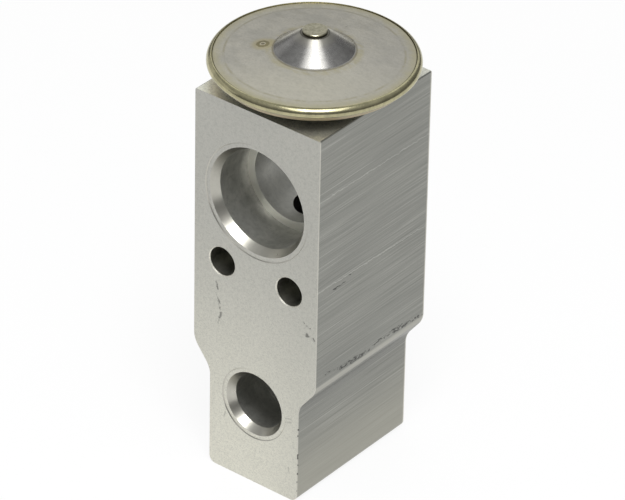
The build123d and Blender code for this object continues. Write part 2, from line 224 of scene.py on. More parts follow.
def add_node(tree, kind, inputs=None, **settings):
    """Return a new node with these settings and with values or links in its inputs."""
    made = tree.nodes.new(kind)
    for name, value in settings.items():
        setattr(made, name, value)
    for name, value in (inputs or {}).items():
        if isinstance(value, bpy.types.NodeSocket):
            tree.links.new(value, made.inputs[name])
        else:
            made.inputs[name].default_value = value
    return made


class Finish:
    """A material, and the few node calls that its pattern is built from."""

    def __init__(self, name, colour, metallic, roughness):
        self.material = bpy.data.materials.new(name)
        self.material.use_nodes = True
        self.tree = self.material.node_tree
        self.shader = self.tree.nodes["Principled BSDF"]
        self.shader.inputs["Base Color"].default_value = (*colour, 1.0)
        self.shader.inputs["Metallic"].default_value = metallic
        self.shader.inputs["Roughness"].default_value = roughness
        where = self.node("ShaderNodeTexCoord").outputs["Object"]
        self.place = self.vector("SCALE", where, scale=1 / MM)
        parts = self.node("ShaderNodeSeparateXYZ", {"Vector": self.place}).outputs
        self.x, self.y, self.z = parts["X"], parts["Y"], parts["Z"]

    def node(self, kind, inputs=None, **settings):
        """Return a new node in this material."""
        return add_node(self.tree, kind, inputs, **settings)

    def calc(self, operation, *values, clamp=False):
        """Return the result of a sum on numbers or sockets."""
        inputs = dict(enumerate(values))
        return self.node("ShaderNodeMath", inputs, operation=operation, use_clamp=clamp).outputs[0]

    def average(self, first, second):
        """Return the mean of two numbers."""
        return self.calc("MULTIPLY", self.calc("ADD", first, second), 0.5)

    def vector(self, operation, first, second=None, scale=None):
        """Return the result of a sum on vectors: a vector, or a number for LENGTH and DOT_PRODUCT."""
        inputs = {0: first}
        if second is not None:
            inputs[1] = second
        if scale is not None:
            inputs["Scale"] = scale
        made = self.node("ShaderNodeVectorMath", inputs, operation=operation)
        return made.outputs["Value" if operation in ("LENGTH", "DOT_PRODUCT") else "Vector"]

    def noise(self, size, stretch=(1.0, 1.0, 1.0), detail=2.0, rough=0.5, shift=0.0):
        """Return a noise of this grain size in millimetres, longer along the stretched axes."""
        scale = tuple(1 / (size * share) for share in stretch)
        place = self.vector("MULTIPLY", self.place, scale)
        place = self.vector("ADD", place, (shift, shift, shift))
        inputs = {"Vector": place, "Scale": 1.0, "Detail": detail, "Roughness": rough}
        return self.node("ShaderNodeTexNoise", inputs).outputs[0]

    def between(self, value, low, high):
        """Return 0 below low and 1 above high, with a smooth step between, or the other way round."""
        inputs = {"Value": value, "From Min": low, "From Max": high}
        return self.node("ShaderNodeMapRange", inputs, interpolation_type="SMOOTHSTEP").outputs[0]

    def band(self, value, middle, half_width, blur):
        """Return 1 within half_width of the middle and 0 further out."""
        off = self.calc("ABSOLUTE", self.calc("SUBTRACT", value, middle))
        return self.between(off, half_width + blur, half_width)

    def level(self, value, low, high):
        """Return a value of 0 to 1 spread over low to high."""
        inputs = {"Value": value, "To Min": low, "To Max": high}
        return self.node("ShaderNodeMapRange", inputs).outputs[0]

    def mix(self, share, first, second):
        """Return a colour between the first and the second."""
        inputs = {0: share}
        for index, colour in ((6, first), (7, second)):
            linked = isinstance(colour, bpy.types.NodeSocket)
            inputs[index] = colour if linked else (*colour, 1.0)
        return self.node("ShaderNodeMix", inputs, data_type="RGBA").outputs[2]

    def coat(self, tone, where, strength, colour):
        """Return a tone with this colour over it where the mask is 1, at this strength."""
        return self.mix(self.calc("MULTIPLY", where, strength), tone, colour)

    def blend_numbers(self, share, first, second):
        """Return a number between the first and the second."""
        step = self.calc("SUBTRACT", second, first)
        return self.calc("ADD", first, self.calc("MULTIPLY", step, share))

    def radius(self, first, second):
        """Return the distance from an axis, given the two coordinates across it."""
        return self.calc("SQRT", self.calc("ADD", self.calc("POWER", first, 2.0),
                                           self.calc("POWER", second, 2.0)))

    def towards(self, azimuth):
        """Return how far a point lies from the valve's axis towards this azimuth."""
        return self.vector("DOT_PRODUCT", self.place, tuple(direction(azimuth, 0.0)))

    def scratches(self, first, second, marks, blur=0.06):
        """Return 1 on each mark, a short line with a width, in the plane of two coordinates."""
        wander = self.calc("MULTIPLY", self.calc("SUBTRACT", self.noise(0.9), 0.5), 0.8)
        point = self.node("ShaderNodeCombineXYZ", {
            "X": self.calc("ADD", first, wander),
            "Y": self.calc("ADD", second, wander),
        }).outputs[0]
        total = None
        for start_a, start_b, end_a, end_b, width in marks:
            along = Vector((end_a - start_a, end_b - start_b, 0))
            away = self.vector("SUBTRACT", point, (start_a, start_b, 0))
            share = self.calc("DIVIDE", self.vector("DOT_PRODUCT", away, tuple(along)),
                              along.length_squared, clamp=True)
            nearest = self.vector("SCALE", tuple(along), scale=share)
            off = self.vector("LENGTH", self.vector("SUBTRACT", away, nearest))
            mark = self.between(off, width / 2 + blur, width / 2)
            total = mark if total is None else self.calc("MAXIMUM", total, mark)
        return total

    def paint(self, name, value):
        """Link a socket to one of the shader's inputs."""
        self.tree.links.new(value, self.shader.inputs[name])

    def emboss(self, height, depth):
        """Raise the surface by this depth in millimetres where height is 1."""
        inputs = {"Height": height, "Distance": depth * MM, "Strength": 1.0}
        self.paint("Normal", self.node("ShaderNodeBump", inputs).outputs[0])


def front_nicks(made):
    """Return the nicks and the fainter scuffs on the front face."""
    nicks = made.scratches(made.x, made.z, FRONT_NICKS, blur=0.24)
    scuffs = made.scratches(made.x, made.z, FRONT_SCUFFS, blur=0.24)
    broken = made.between(made.noise(0.5, detail=3.0, rough=0.7, shift=11.0), 0.34, 0.52)
    front = made.between(made.y, -FRONT_Y + 1.0, -FRONT_Y + 0.5)
    nicks = made.calc("MAXIMUM", nicks, made.calc("MULTIPLY", scuffs, 0.4))
    return made.calc("MULTIPLY", made.calc("MULTIPLY", nicks, broken), made.calc("MULTIPLY", front, 0.75))


def end_finish(name, foot_tone, head_tone, marked=False):
    """Milled aluminium: a fine satin with a painted light gradient, from one tone at the foot to another
    at the head.
    """
    made = Finish(name, foot_tone, 1.0, 0.5)
    grain = made.noise(0.16, detail=3.0, rough=0.7)
    mottle = made.noise(0.75, detail=2.0, rough=0.6, shift=5.0)
    cloud = made.noise(5.0, stretch=(1.0, 1.0, 1.8), detail=3.0)
    speck = made.noise(0.34, detail=2.0, rough=0.7, shift=13.0)
    mottling = made.level(made.between(made.z, 20.0, 60.0), 0.16, 0.34)
    # Painted light: the tone changes with height to stand in for how light falls, not for the metal
    tone = made.mix(made.between(made.z, 0.0, PAINTED_GRADIENT_TOP_Z), foot_tone, head_tone)
    tone = made.coat(tone, made.between(made.x, 0.0, 12.0), 0.3, (0.5, 0.495, 0.45))
    tone = made.coat(tone, cloud, 0.2, (0.7, 0.7, 0.63))
    tone = made.coat(tone, made.between(grain, 0.35, 0.75), 0.38, (0.34, 0.34, 0.32))
    tone = made.coat(tone, made.between(mottle, 0.4, 0.75), mottling, (0.38, 0.38, 0.35))
    tone = made.coat(tone, made.between(speck, 0.45, 0.72), 0.24, (0.28, 0.28, 0.26))
    height = made.calc("MULTIPLY", made.calc("ADD", grain, speck), 0.35)
    if marked:
        nicks = front_nicks(made)
        tone = made.mix(nicks, tone, (0.12, 0.12, 0.11))
        height = made.calc("SUBTRACT", height, nicks)
    made.paint("Base Color", tone)
    made.paint("Roughness", made.level(made.average(grain, cloud), 0.42, 0.6))
    made.emboss(height, 0.02)
    return made.material


def side_nicks(made):
    """Return the dark lines and the nicks along the step, which are all on the right side."""
    speckle = made.noise(0.4, stretch=(1.0, 2.4, 1.0), detail=3.0, rough=0.75, shift=1.0)
    nicks = made.scratches(made.y, made.z, SIDE_DARK_LINES)
    for *stretch, crowding in STEP_NICKS:
        zone = made.scratches(made.y, made.z, (stretch,), blur=0.35)
        spots = made.between(speckle, 0.66 - crowding * 0.3, 0.7 - crowding * 0.3)
        nicks = made.calc("MAXIMUM", nicks, made.calc("MULTIPLY", zone, spots))
    return made.calc("MULTIPLY", nicks, made.between(made.x, 0.0, 1.0))


def drawn_finish():
    """Drawn sides of the bar: long lines along Y from the die, with nicks along the step, and painted
    light and shade at the foot, at the step and along the front and back edges.
    """
    made = Finish("drawn_aluminium", (0.4, 0.4, 0.37), 1.0, 0.42)
    hair = made.noise(0.1, stretch=(1.0, 120.0, 1.0), detail=1.0)
    fine = made.noise(0.28, stretch=(1.0, 110.0, 1.0), detail=2.0, rough=0.6, shift=4.0)
    coarse = made.noise(1.1, stretch=(1.0, 40.0, 1.0), detail=2.0, shift=7.0)
    bands = made.noise(6.0, stretch=(1.0, 3.0, 1.0), detail=2.0, shift=3.0)
    grit = made.noise(0.2, stretch=(1.0, 2.0, 1.0), detail=2.0, rough=0.7, shift=9.0)
    wide = made.calc("ADD", made.calc("MULTIPLY", fine, 0.4), made.calc("MULTIPLY", coarse, 0.25))
    lines = made.calc("ADD", made.calc("MULTIPLY", hair, 0.35), wide)
    tone = made.mix(made.between(lines, 0.34, 0.66), (0.24, 0.245, 0.222), (0.362, 0.362, 0.332))
    tone = made.coat(tone, made.between(bands, 0.35, 0.65), 0.3, (0.25, 0.252, 0.232))
    tone = made.coat(tone, made.between(grit, 0.4, 0.7), 0.16, (0.17, 0.17, 0.16))
    tone = made.coat(tone, made.between(fine, 0.62, 0.7), 0.3, (0.5, 0.5, 0.46))
    tone = made.coat(tone, made.between(fine, 0.37, 0.3), 0.4, (0.18, 0.18, 0.165))
    # Painted light: the foot is paler, standing in for light from the floor
    tone = made.coat(tone, made.between(made.z, PAINTED_FOOT_LIGHT_Z, 2.0), 0.62, (0.43, 0.42, 0.358))
    # Painted reflection: a pale band along the step's upper edge; painted shade: a dark band along its
    # foot
    tone = made.coat(tone, made.band(made.z, STEP_HIGH_Z, 0.55, 0.5), 0.6, (0.52, 0.51, 0.45))
    tone = made.coat(tone, made.band(made.z, STEP_LOW_Z, 0.9, 1.2), 0.35, (0.17, 0.17, 0.16))
    bright = made.scratches(made.y, made.z, SIDE_BRIGHT_LINES, blur=0.1)
    tone = made.coat(tone, bright, 0.35, (0.7, 0.7, 0.65))
    # Painted highlight along the front and back edges, which the bump also rounds off
    rounded_edge_highlight = made.between(made.calc("ABSOLUTE", made.y), FRONT_Y - 0.4, FRONT_Y - 0.12)
    tone = made.coat(tone, rounded_edge_highlight, 0.55, (0.85, 0.83, 0.74))
    nicks = side_nicks(made)
    tone = made.coat(tone, nicks, 0.85, (0.07, 0.07, 0.065))
    made.paint("Base Color", tone)
    made.paint("Roughness", made.level(coarse, 0.36, 0.54))
    lowered = made.calc("ADD", nicks, made.calc("MULTIPLY", rounded_edge_highlight, 2.0))
    made.emboss(made.calc("SUBTRACT", lines, lowered), 0.02)
    return made.material


def port_finish(name, dark, light, rough_low, rough_high, ridge):
    """Turned walls of the bores that run along Y: fine rings left by the tool."""
    made = Finish(name, light, 1.0, rough_high)
    rings = made.noise(0.2, stretch=(EVEN, 1.0, EVEN), detail=2.0, rough=0.6)
    smear = made.noise(0.9, detail=4.0, rough=0.7, shift=6.0)
    cloud = made.noise(3.0, detail=3.0)
    tone = made.mix(made.level(rings, 0.35, 0.65), dark, light)
    tone = made.coat(tone, made.between(smear, 0.42, 0.68), 0.5, dark)
    made.paint("Base Color", made.coat(tone, made.between(cloud, 0.3, 0.7), 0.5, dark))
    made.paint("Roughness", made.level(cloud, rough_low, rough_high))
    if ridge:
        made.emboss(rings, ridge)
    return made.material


def bore_finish():
    """Turned walls of the bores on the valve's own axis."""
    made = Finish("turned_bore", (0.5, 0.5, 0.475), 1.0, 0.32)
    rings = made.noise(0.16, stretch=(EVEN, EVEN, 1.0), detail=2.0, rough=0.6)
    made.paint("Base Color", made.mix(rings, (0.42, 0.42, 0.4), (0.56, 0.56, 0.53)))
    made.paint("Roughness", made.level(rings, 0.25, 0.4))
    made.emboss(rings, 0.004)
    return made.material


def dome_tone(made, reach, cloud, stain, grain):
    """Return the dome's colour: cloudy and stained, straw at the rim, with painted light on one side,
    painted shade on others and painted shade in the crease.
    """
    speckle = made.noise(0.3, detail=2.0, rough=0.6, shift=8.0)
    blot = made.noise(0.55, stretch=(1.8, 1.0, 1.0), detail=3.0, rough=0.7, shift=15.0)
    ragged = made.calc("ADD", reach, made.level(made.noise(1.7, detail=2.0), -0.9, 0.9))
    # Painted light on the side towards the azimuth, painted shade a quarter turn round from it
    painted_light_side = made.between(made.towards(PAINTED_LIGHT_AZIMUTH), 2.0, 12.0)
    painted_shade_side = made.between(made.towards(PAINTED_LIGHT_AZIMUTH + 75.0), 4.0, 14.0)
    crease_shade_side = made.between(made.towards(PAINTED_LIGHT_AZIMUTH + 30.0), -14.0, -2.0)
    tone = made.mix(made.between(cloud, 0.3, 0.7), (0.43, 0.417, 0.366), (0.52, 0.5, 0.434))
    tone = made.coat(tone, made.between(stain, 0.5, 0.75), 0.36, (0.36, 0.34, 0.27))
    tone = made.coat(tone, made.between(speckle, 0.45, 0.7), 0.3, (0.27, 0.265, 0.24))
    tone = made.coat(tone, grain, 0.2, (0.36, 0.355, 0.33))
    tone = made.coat(tone, painted_light_side, 0.5, (0.55, 0.53, 0.44))
    tone = made.coat(tone, painted_shade_side, 0.3, (0.36, 0.35, 0.32))
    tone = made.coat(tone, made.between(blot, 0.42, 0.7), 0.22, (0.3, 0.29, 0.245))
    straw = made.between(ragged, COVER_SHOULDER_R - 0.35, CREASE_R + 0.35)
    tone = made.coat(tone, straw, 0.62, (0.425, 0.392, 0.225))
    shoulder = made.band(reach, COVER_SHOULDER_R, 0.03, 0.34)
    shoulder = made.calc("MULTIPLY", shoulder, made.between(cloud, 0.36, 0.6))
    tone = made.coat(tone, shoulder, 0.5, (0.3, 0.275, 0.17))
    # Painted shade in the crease, deeper on the side away from the light
    crease = made.band(reach, CREASE_R - 0.05, 0.08, 0.12)
    tone = made.coat(tone, crease, made.level(crease_shade_side, 0.2, 0.85), (0.1, 0.09, 0.06))
    halo = made.between(weld_distance(made), 2.6, 1.2)
    halo = made.calc("MULTIPLY", halo, made.level(cloud, 0.4, 1.0))
    tone = made.coat(tone, halo, 0.75, (0.42, 0.35, 0.15))
    tone = made.coat(tone, made.scratches(made.x, made.y, COVER_SPECKS), 0.6, (0.15, 0.13, 0.09))
    foot_stain = made.band(reach, CONE_FOOT_R + 0.5, 0.3, 0.9)
    foot_stain = made.calc("MULTIPLY", foot_stain, made.between(stain, 0.35, 0.6))
    return made.coat(tone, foot_stain, 0.45, (0.4, 0.36, 0.2))


def cone_tone(made, reach):
    """Return the cone's colour: grey, with painted reflections behind and at its top, a painted highlight
    down its front and painted shade round the plug.
    """
    sheen = made.noise(0.9, detail=3.0, rough=0.6, shift=2.0)
    facing = made.calc("DIVIDE", made.towards(PAINTED_LIGHT_AZIMUTH), reach)
    tone = made.mix(made.between(sheen, 0.3, 0.7), (0.265, 0.26, 0.251), (0.325, 0.32, 0.307))
    # Painted reflection behind, painted highlight down the front, painted reflection at the top
    tone = made.coat(tone, made.between(facing, 0.1, -0.4), 0.6, (0.5, 0.475, 0.375))
    tone = made.coat(tone, made.between(facing, 0.9, 0.98), 0.35, (0.5, 0.49, 0.46))
    tone = made.coat(tone, made.between(reach, 4.4, 2.8), 0.35, (0.5, 0.48, 0.38))
    plug_gap_shade = made.between(reach, CONE_TOP_R + 0.22, CONE_TOP_R + 0.08)
    return made.coat(tone, plug_gap_shade, 0.85, (0.08, 0.075, 0.06))


def upper_cover_finish():
    """Pressed steel: matte on the dome, polished on the cone, straw coloured by heat at the rim, with
    painted light and shade on dome and cone and painted shade at the cone's foot.
    """
    made = Finish("pressed_steel", (0.6, 0.58, 0.52), 1.0, 0.4)
    reach = made.radius(made.x, made.y)
    cloud = made.noise(2.6, stretch=(1.6, 1.0, 1.0), detail=4.0, rough=0.6)
    stain = made.noise(1.1, stretch=(2.2, 1.0, 1.0), detail=3.0, rough=0.65, shift=4.0)
    grain = made.noise(0.14, stretch=(6.0, 1.0, 1.0), detail=2.0, rough=0.6)
    turned = made.noise(0.24, stretch=(EVEN, EVEN, 1.0), detail=1.0, shift=5.0)
    polish = made.between(reach, CONE_FOOT_R + 0.1, CONE_FOOT_R - 0.3)
    tone = made.mix(polish, dome_tone(made, reach, cloud, stain, grain), cone_tone(made, reach))
    # Painted shade in the corner where the cone meets the dome
    foot = made.band(reach, CONE_FOOT_R + 0.05, 0.07, 0.16)
    made.paint("Base Color", made.coat(tone, foot, made.level(cloud, 0.1, 0.8), (0.14, 0.12, 0.075)))
    matte = made.level(made.average(grain, cloud), 0.4, 0.52)
    dulled = made.level(made.between(reach, 5.0, 2.6), 0.0, 0.05)
    shine = made.calc("ADD", made.level(turned, 0.21, 0.31), dulled)
    made.paint("Roughness", made.blend_numbers(polish, matte, shine))
    relief = made.calc("ADD", grain, made.calc("MULTIPLY", stain, 2.0))
    made.emboss(made.calc("MULTIPLY", relief, made.calc("SUBTRACT", 1.0, polish)), 0.012)
    return made.material


def weld_distance(made):
    """Return the distance from the spot weld on the dome."""
    across = made.calc("SUBTRACT", made.x, WELD_SPOT_X)
    return made.radius(across, made.calc("SUBTRACT", made.y, WELD_SPOT_Y))


def weld_finish():
    """Spot weld: a straw ring, darkened round its edge and burnt at its middle."""
    made = Finish("spot_weld", (0.5, 0.45, 0.3), 1.0, 0.4)
    uneven = made.level(made.noise(0.5, detail=3.0), -0.2, 0.2)
    spot = made.calc("ADD", weld_distance(made), uneven)
    grain = made.noise(0.2, detail=3.0)
    tone = made.mix(grain, (0.42, 0.39, 0.28), (0.54, 0.5, 0.38))
    tone = made.coat(tone, made.band(spot, 0.88, 0.16, 0.34), 0.8, (0.17, 0.145, 0.06))
    made.paint("Base Color", made.coat(tone, made.between(spot, 0.4, 0.2), 0.85, (0.06, 0.05, 0.03)))
    made.paint("Roughness", made.level(grain, 0.34, 0.5))
    made.emboss(grain, 0.01)
    return made.material


def bead_finish():
    """Weld along the rim: smooth and straw coloured, with faint ripples, and duller below, where painted
    light makes it paler.
    """
    made = Finish("rim_weld", (0.46, 0.42, 0.3), 1.0, 0.26)
    cloud = made.noise(2.4, stretch=(1.0, 1.0, 0.5), detail=3.0, rough=0.6)
    ripple = made.noise(0.55, stretch=(1.0, 1.0, 3.0), detail=2.0, shift=2.0)
    tone = made.mix(made.between(cloud, 0.3, 0.7), (0.37, 0.348, 0.215), (0.49, 0.457, 0.283))
    tone = made.coat(tone, made.between(ripple, 0.45, 0.7), 0.25, (0.25, 0.24, 0.16))
    # Painted light: the underside is made paler, standing in for light it reflects
    below = made.between(made.z, RIM_EQUATOR_Z - 0.35, RIM_EQUATOR_Z - 0.8)
    made.paint("Base Color", made.mix(below, tone, (0.62, 0.53, 0.37)))
    made.paint("Roughness", made.blend_numbers(below, made.level(cloud, 0.14, 0.24), 0.5))
    made.emboss(ripple, 0.003)
    return made.material


def lower_cover_finish():
    """Pressed steel of the lower cover: plain, with a trace of straw towards the rim."""
    made = Finish("pressed_steel_rim", (0.56, 0.52, 0.4), 1.0, 0.34)
    reach = made.radius(made.x, made.y)
    cloud = made.noise(2.2, detail=3.0)
    tone = made.mix(made.between(reach, 16.5, 18.4), (0.42, 0.41, 0.38), (0.36, 0.315, 0.18))
    made.paint("Base Color", made.coat(tone, cloud, 0.4, (0.26, 0.235, 0.14)))
    made.paint("Roughness", made.level(cloud, 0.28, 0.42))
    return made.material


def plain_metal(name, dark, light, grain_size, rough_low, rough_high):
    """Metal with a fine grain, for the small pieces."""
    made = Finish(name, light, 1.0, rough_high)
    grain = made.noise(grain_size, detail=3.0, rough=0.6)
    made.paint("Base Color", made.mix(grain, dark, light))
    made.paint("Roughness", made.level(grain, rough_low, rough_high))
    made.emboss(grain, 0.003)
    return made.material


def plug_finish():
    """Plated plug: a mottled top, and painted shade on its side where it meets the cone."""
    made = Finish("plug_steel", (0.38, 0.36, 0.28), 1.0, 0.3)
    grain = made.noise(0.5, detail=3.0, rough=0.6)
    tone = made.mix(made.between(grain, 0.3, 0.7), (0.25, 0.24, 0.175), (0.41, 0.39, 0.29))
    # Painted shade on the plug's side, where it meets the cone
    side = made.between(made.z, PLUG_TOP_Z - 0.14, PLUG_TOP_Z - 0.26)
    made.paint("Base Color", made.coat(tone, side, 0.85, (0.07, 0.065, 0.05)))
    made.paint("Roughness", made.level(grain, 0.24, 0.36))
    made.emboss(grain, 0.004)
    return made.material


def seal_finish(name, dark, light, rough_low, rough_high):
    """Rubber or gasket board: dull, with a dusty mottling."""
    made = Finish(name, dark, 0.0, rough_high)
    grain = made.noise(0.3, detail=3.0, rough=0.7)
    made.paint("Base Color", made.mix(grain, dark, light))
    made.paint("Roughness", made.level(grain, rough_low, rough_high))
    made.emboss(grain, 0.01)
    return made.material


def set_only_material(obj, material):
    """Give an object this one material."""
    obj.data.materials.clear()
    obj.data.materials.append(material)


def block_face_finish(middle, normal):
    """Return the name of a block face's finish, from its middle in millimetres and its normal."""
    tilt = abs(normal.y)
    from_bolt = math.hypot(abs(middle.x) - BOLT_HOLE_X, middle.z - BOLT_HOLE_Z)
    sloped = 0.2 < tilt < 0.9
    if from_bolt < BOLT_HOLE_R + SKIN and tilt < 0.9:
        return "broken_edge" if sloped else "drilled_hole"
    if tilt > SQUARE and abs(middle.y) > FRONT_Y - SKIN:
        return "milled_aluminium"
    if tilt > SQUARE and middle.z > PORT_SHOULDER_LOW_Z:
        return "turned_shoulder"
    if tilt < EDGE_ON and abs(normal.z) > SQUARE and not 0.01 <= middle.z <= BLOCK_TOP_Z - 0.1:
        return "milled_seat"
    if tilt < EDGE_ON and normal.x * middle.x > 0 and abs(middle.x) > OUTER_SIDE_X:
        return "drawn_aluminium"
    if sloped and abs(middle.y) > LEAD_IN_Y:
        return "turned_chamfer"
    if abs(normal.z) < EDGE_ON and EDGE_ON < tilt < 1 - EDGE_ON:
        return "turned_bore"
    if middle.z > PORT_SHOULDER_LOW_Z and abs(middle.y) < PORT_SHOULDER_Y:
        return "turned_passage"
    return "turned_port"


def dress_block():
    """Give the block's faces their finishes by where they lie and which way they look."""
    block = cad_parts["valve_body"]
    block.data.materials.clear()
    finishes = (
        # Painted light: the ends are lighter at the foot than at the head, as if lit from the floor
        end_finish("milled_aluminium", (0.83, 0.815, 0.71), (0.522, 0.517, 0.475), marked=True),
        drawn_finish(),
        port_finish("turned_port", (0.3, 0.3, 0.28), (0.74, 0.74, 0.69), 0.46, 0.6, 0.003),
        bore_finish(),
        port_finish("turned_chamfer", (0.46, 0.45, 0.4), (0.62, 0.605, 0.54), 0.25, 0.33, 0.0),
        # Painted light: the top seat is a near-white copy of the milled finish, lighter to stand in for
        # light that the shaded top under the head does not get
        end_finish("milled_seat", (0.7, 0.69, 0.61), (0.98, 0.99, 0.88)),
        # Painted light: the shoulder, passage and bolt holes are lighter copies of the turned finish,
        # standing in for light that reaches the bores' insides
        port_finish("turned_shoulder", (0.98, 0.97, 0.89), (0.99, 0.98, 0.9), 0.3, 0.38, 0.0),
        port_finish("turned_passage", (0.56, 0.56, 0.53), (0.97, 0.965, 0.91), 0.4, 0.5, 0.004),
        port_finish("drilled_hole", (0.4, 0.4, 0.36), (0.9, 0.89, 0.8), 0.32, 0.42, 0.006),
        end_finish("broken_edge", (0.95, 0.93, 0.82), (0.92, 0.9, 0.79)),
    )
    slots = {}
    for index, material in enumerate(finishes):
        block.data.materials.append(material)
        slots[material.name] = index
    for face in block.data.polygons:
        face.material_index = slots[block_face_finish(face.center / MM, face.normal)]


def arc(centre_r, centre_z, radius, start, end, steps):
    """Return points on an arc in the plane of radius and height, with its angles in degrees."""
    points = []
    for index in range(steps + 1):
        turn = math.radians(start + (end - start) * index / steps)
        points.append((centre_r + radius * math.cos(turn), centre_z + radius * math.sin(turn)))
    return points


def lathe(name, outline, material):
    """Revolve a closed outline of (radius, height) points round the valve's axis."""
    vertices, faces = [], []
    count = len(outline)
    for step in range(LATHE_STEPS):
        turn = 2 * math.pi * step / LATHE_STEPS
        for radius, height in outline:
            vertices.append((radius * math.cos(turn) * MM, radius * math.sin(turn) * MM, height * MM))
    for step in range(LATHE_STEPS):
        here, there = step * count, (step + 1) % LATHE_STEPS * count
        for index in range(count):
            after = (index + 1) % count
            faces.append((here + index, there + index, there + after, here + after))
    return smooth_piece(name, vertices, faces, material, LATHE_SHARP_ANGLE)


def smooth_piece(name, vertices, faces, material, smooth_angle=180.0):
    """Return a new object, shaded smooth but at edges sharper than this angle in degrees."""
    mesh = bpy.data.meshes.new(name)
    mesh.from_pydata(vertices, [], faces)
    mesh.update()
    mesh.shade_smooth()
    mesh.set_sharp_from_angle(angle=math.radians(smooth_angle))
    obj = bpy.data.objects.new(name, mesh)
    bpy.context.scene.collection.objects.link(obj)
    obj.data.materials.append(material)
    return obj


def make_upper_cover():
    """Upper cover: crease beside the rim's weld, shallow dome and polished cone."""
    low, high = box_in_mm("head_upper_cover")
    joint_z, cone_top_z = low.z, high.z
    top_z = joint_z + COVER_THICKNESS
    shoulder = (COVER_SHOULDER_R, top_z + COVER_SHOULDER_RISE)
    foot = (CONE_FOOT_R, top_z + CONE_FOOT_RISE)
    top = (CONE_TOP_R, cone_top_z)
    inside_step = 0.35
    outline = [(CREASE_R + CREASE_SECTION[0][0], joint_z)]
    outline += [(CREASE_R + out, top_z + up) for out, up in CREASE_SECTION]
    outline += [(shoulder[0] + out, shoulder[1] + up) for out, up in SHOULDER_SECTION]
    outline += rounded(shoulder, foot, top, CONE_FOOT_ROUND, 8)
    outline += rounded(foot, top, (CONE_HOLE_R, cone_top_z), CONE_TOP_ROUND, 6)
    outline += [(CONE_HOLE_R, cone_top_z), (CONE_HOLE_R, cone_top_z - COVER_THICKNESS),
                (top[0] - inside_step, cone_top_z - COVER_THICKNESS),
                (foot[0] - inside_step, foot[1] - COVER_THICKNESS),
                (shoulder[0], shoulder[1] - COVER_THICKNESS), (CLAMP_R, joint_z)]
    cover = lathe("upper_cover_pressing", outline, upper_cover_finish())
    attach(cover, "valve_block")
    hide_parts("head_upper_cover")


def rounded(before, corner, after, radius, steps):
    """Return the arc that rounds a corner between two straight runs."""
    corner = Vector(corner)
    first = (Vector(before) - corner).normalized()
    second = (Vector(after) - corner).normalized()
    half = first.angle(second) / 2
    reach = radius / math.tan(half)
    centre = corner + (first + second).normalized() * (radius / math.sin(half))
    start = corner + first * reach - centre
    end = corner + second * reach - centre
    points = []
    for index in range(steps + 1):
        share = index / steps
        spoke = start.lerp(end, share).normalized() * radius
        points.append(tuple(centre + spoke))
    return points


def dome_height(reach, top_z):
    """Return the dome's height at this distance from the axis."""
    share = (COVER_SHOULDER_R - reach) / (COVER_SHOULDER_R - CONE_FOOT_R)
    return top_z + COVER_SHOULDER_RISE + share * (CONE_FOOT_RISE - COVER_SHOULDER_RISE)


def make_weld_spot():
    """Spot weld on the dome: a low ring round a pit."""
    top_z = box_in_mm("head_upper_cover")[0].z + COVER_THICKNESS
    vertices, faces = [], []
    for radius, rise in WELD_SPOT_SECTION:
        for step in range(WELD_SPOT_STEPS):
            turn = 2 * math.pi * step / WELD_SPOT_STEPS
            x = WELD_SPOT_X + radius * math.cos(turn)
            y = WELD_SPOT_Y + radius * math.sin(turn)
            z = dome_height(math.hypot(x, y), top_z) + rise
            vertices.append((x * MM, y * MM, z * MM))
    for ring in range(len(WELD_SPOT_SECTION) - 1):
        inner, outer = ring * WELD_SPOT_STEPS, (ring + 1) * WELD_SPOT_STEPS
        for step in range(WELD_SPOT_STEPS):
            after = (step + 1) % WELD_SPOT_STEPS
            faces.append((inner + step, outer + step, outer + after, inner + after))
    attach(smooth_piece("weld_spot", vertices, faces, weld_finish()), "valve_block")


def make_rim_weld():
    """Weld along the rim: round above, and tapered below towards the lower cover's flange."""
    joint_z = box_in_mm("head_upper_cover")[0].z
    centre_r, centre_z = RIM_R - BEAD_R, joint_z + BEAD_RISE - BEAD_R
    inner_r, lap = CREASE_R - 1.4, 0.3
    low_round = 0.6
    taper_r, taper_z, taper_round = 17.2, joint_z - 2.25, 0.25
    start = math.degrees(math.acos((CREASE_R - centre_r) / BEAD_R))
    outline = arc(centre_r, centre_z, BEAD_R, start, 0, 16)
    outline += arc(RIM_R - low_round, centre_z, low_round, -6, -42, 6)
    outline += arc(taper_r, taper_z + taper_round, taper_round, -45, -90, 5)
    outline += [(inner_r, taper_z), (inner_r, joint_z - lap), (CREASE_R, joint_z - lap)]
    weld = lathe("rim_weld", outline[::-1], bead_finish())
    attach(weld, "valve_block")
    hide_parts("head_upper_cover", "head_lower_cover")


def make_lower_cover():
    """Lower cover: dished plate with a flange under the rim's weld and the threaded boss."""
    low, high = box_in_mm("head_lower_cover")
    gasket_high = box_in_mm("head_gasket")[1]
    joint_z, boss_low_z, seat_z = high.z, low.z, gasket_high.z
    flange_low_z = joint_z - FLANGE_DEPTH
    floor_r, floor_z = 12.2, seat_z + 1.1
    dish_r, dish_z = 16.3, joint_z - 0.95
    outline = [(CLAMP_R, joint_z), (FLANGE_R, joint_z), (FLANGE_R, flange_low_z),
               (FLANGE_R - 0.5, flange_low_z), (gasket_high.x, seat_z), (BOSS_R, seat_z),
               (BOSS_R, boss_low_z + BOSS_CHAMFER), (BOSS_R - BOSS_CHAMFER, boss_low_z),
               (BOSS_BORE_R, boss_low_z), (BOSS_BORE_R, floor_z), (floor_r, floor_z), (dish_r, dish_z)]
    cover = lathe("lower_cover_pressing", outline[::-1], lower_cover_finish())
    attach(cover, "valve_block")
    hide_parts("head_lower_cover")


